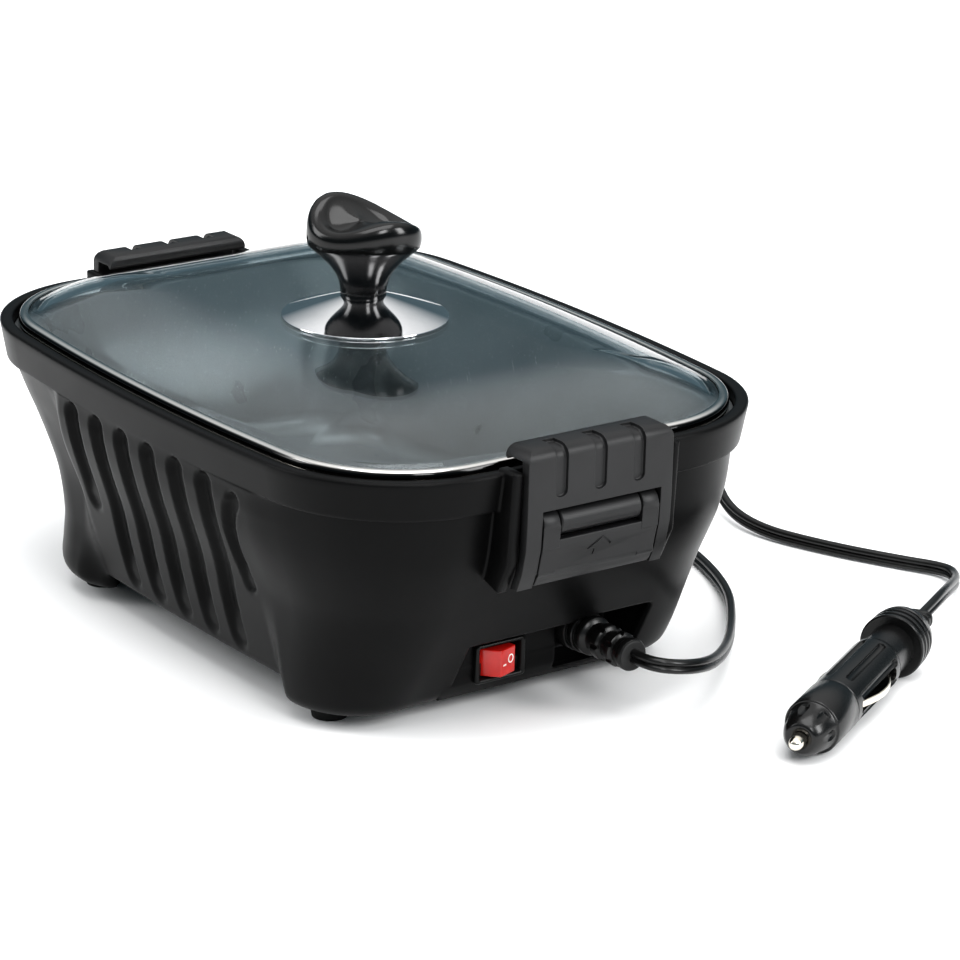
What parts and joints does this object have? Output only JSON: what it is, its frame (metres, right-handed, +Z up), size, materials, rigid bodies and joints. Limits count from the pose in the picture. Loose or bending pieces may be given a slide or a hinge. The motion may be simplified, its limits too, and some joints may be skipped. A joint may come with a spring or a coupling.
{
  "type": "portable roaster oven",
  "caption": "Portable roaster: black tub with a domed glass lid held by end latches, knob, rocker switch, and a cord with a vehicle plug.",
  "frame": {"origin": "centre of the roaster on the surface it stands on", "axes": "+X along the roaster to the end with the switch and inlet, +Z up"},
  "size_m": [0.3543, 0.3251, 0.167],
  "materials": {
    "black_housing": "satin moulded",
    "latch_plastic": "matte moulded",
    "rubber": "matte",
    "pan_coating": "dark non-stick",
    "steel": "plain",
    "mica": "matt sheet",
    "thermostat_case": "moulded",
    "fuse_body": "clear",
    "wire": "matte",
    "clear_glass": "clear",
    "polished_steel": "polished",
    "black_gloss": "glossy",
    "brass": "plain",
    "red_rocker": "translucent",
    "nickel": "plated"
  },
  "bodies": {
    "base": {"housing": "black_housing", "base_plate": "black_housing", "base_screws": "steel", "foot_front_left": "rubber", "foot_front_right": "rubber", "foot_rear_left": "rubber", "foot_rear_right": "rubber", "pan": "pan_coating", "pan_studs": "steel", "mica_top": "mica", "mica_bottom": "mica", "heating_ribbon": "steel", "ribbon_terminals": "brass", "clamp_plate": "steel", "clamp_nuts": "steel", "shield_spacers": "steel", "shield_nuts": "steel", "heat_shield": "steel", "thermostat": "thermostat_case", "thermal_fuse": "fuse_body", "fuse_clip": "steel", "lead_wires": "wire", "front_lever_pin": "steel", "rear_lever_pin": "steel", "switch_body": "black_gloss", "switch_terminals": "brass", "inlet_socket": "black_gloss", "inlet_pins": "brass", "connector": "rubber", "cord_run_near": "rubber", "cord_coil": "rubber", "cord_run_far": "rubber", "coil_tie": "black_gloss", "plug_barrel": "black_gloss", "plug_cap": "black_gloss", "plug_fuse": "fuse_body", "plug_flange": "black_gloss", "plug_relief": "rubber"},
    "lid": {"lid_glass": "clear_glass", "lid_rim": "polished_steel", "knob_plate": "polished_steel", "knob": "black_gloss", "knob_insert": "brass", "knob_washer": "rubber", "knob_screw": "steel"},
    "front_latch_lever": {"front_lever": "latch_plastic", "front_hook_pin": "steel"},
    "front_latch_hook": {"front_hook": "latch_plastic"},
    "rear_latch_lever": {"rear_lever": "latch_plastic", "rear_hook_pin": "steel"},
    "rear_latch_hook": {"rear_hook": "latch_plastic"},
    "rocker": {"rocker": "red_rocker"},
    "plug_tip": {"plug_tip": "nickel", "plug_spring": "nickel"},
    "plug_contact_left": {"plug_contact_left": "nickel"},
    "plug_contact_right": {"plug_contact_right": "nickel"}
  },
  "joints": [
    {"name": "lid_lift", "type": "slide", "parent": "base", "child": "lid", "axis": [0, 0, 1], "range_m": [0, 0.03]},
    {"name": "front_lever_hinge", "type": "hinge", "parent": "base", "child": "front_latch_lever", "pos_m": [0.1426, 0, 0.0855], "axis": [0, -1, 0], "range_deg": [0, 103.2]},
    {"name": "front_hook_hinge", "type": "hinge", "parent": "front_latch_lever", "child": "front_latch_hook", "pos_m": [0.1426, 0, 0.068], "axis": [0, 1, 0], "range_deg": [0, 154.8]},
    {"name": "rear_lever_hinge", "type": "hinge", "parent": "base", "child": "rear_latch_lever", "pos_m": [-0.1426, 0, 0.0855], "axis": [0, 1, 0], "range_deg": [0, 103.2]},
    {"name": "rear_hook_hinge", "type": "hinge", "parent": "rear_latch_lever", "child": "rear_latch_hook", "pos_m": [-0.1426, 0, 0.068], "axis": [0, -1, 0], "range_deg": [0, 154.8]},
    {"name": "rocker_tilt", "type": "hinge", "parent": "base", "child": "rocker", "pos_m": [0.099, -0.0108, 0.0198], "axis": [0, 0, 1], "range_deg": [0, 26]},
    {"name": "plug_tip_press", "type": "slide", "parent": "base", "child": "plug_tip", "axis": [-0.4846, 0.8744, 0.0257], "range_m": [0, 0.002], "stiffness_N_per_m": 400, "springref_m": -0.001},
    {"name": "plug_contact_left_press", "type": "slide", "parent": "base", "child": "plug_contact_left", "axis": [0.8747, 0.4847, 0], "range_m": [0, 0.0014], "stiffness_N_per_m": 400, "springref_m": -0.001},
    {"name": "plug_contact_right_press", "type": "slide", "parent": "base", "child": "plug_contact_right", "axis": [-0.8747, -0.4847, 0], "range_m": [0, 0.0014], "stiffness_N_per_m": 400, "springref_m": -0.001}
  ],
  "couplings": [
    {"joint": "front_lever_hinge", "follows": "lid_lift", "rad_per_m": 60},
    {"joint": "front_hook_hinge", "follows": "lid_lift", "rad_per_m": 90},
    {"joint": "rear_lever_hinge", "follows": "lid_lift", "rad_per_m": 60},
    {"joint": "rear_hook_hinge", "follows": "lid_lift", "rad_per_m": 90}
  ]
}
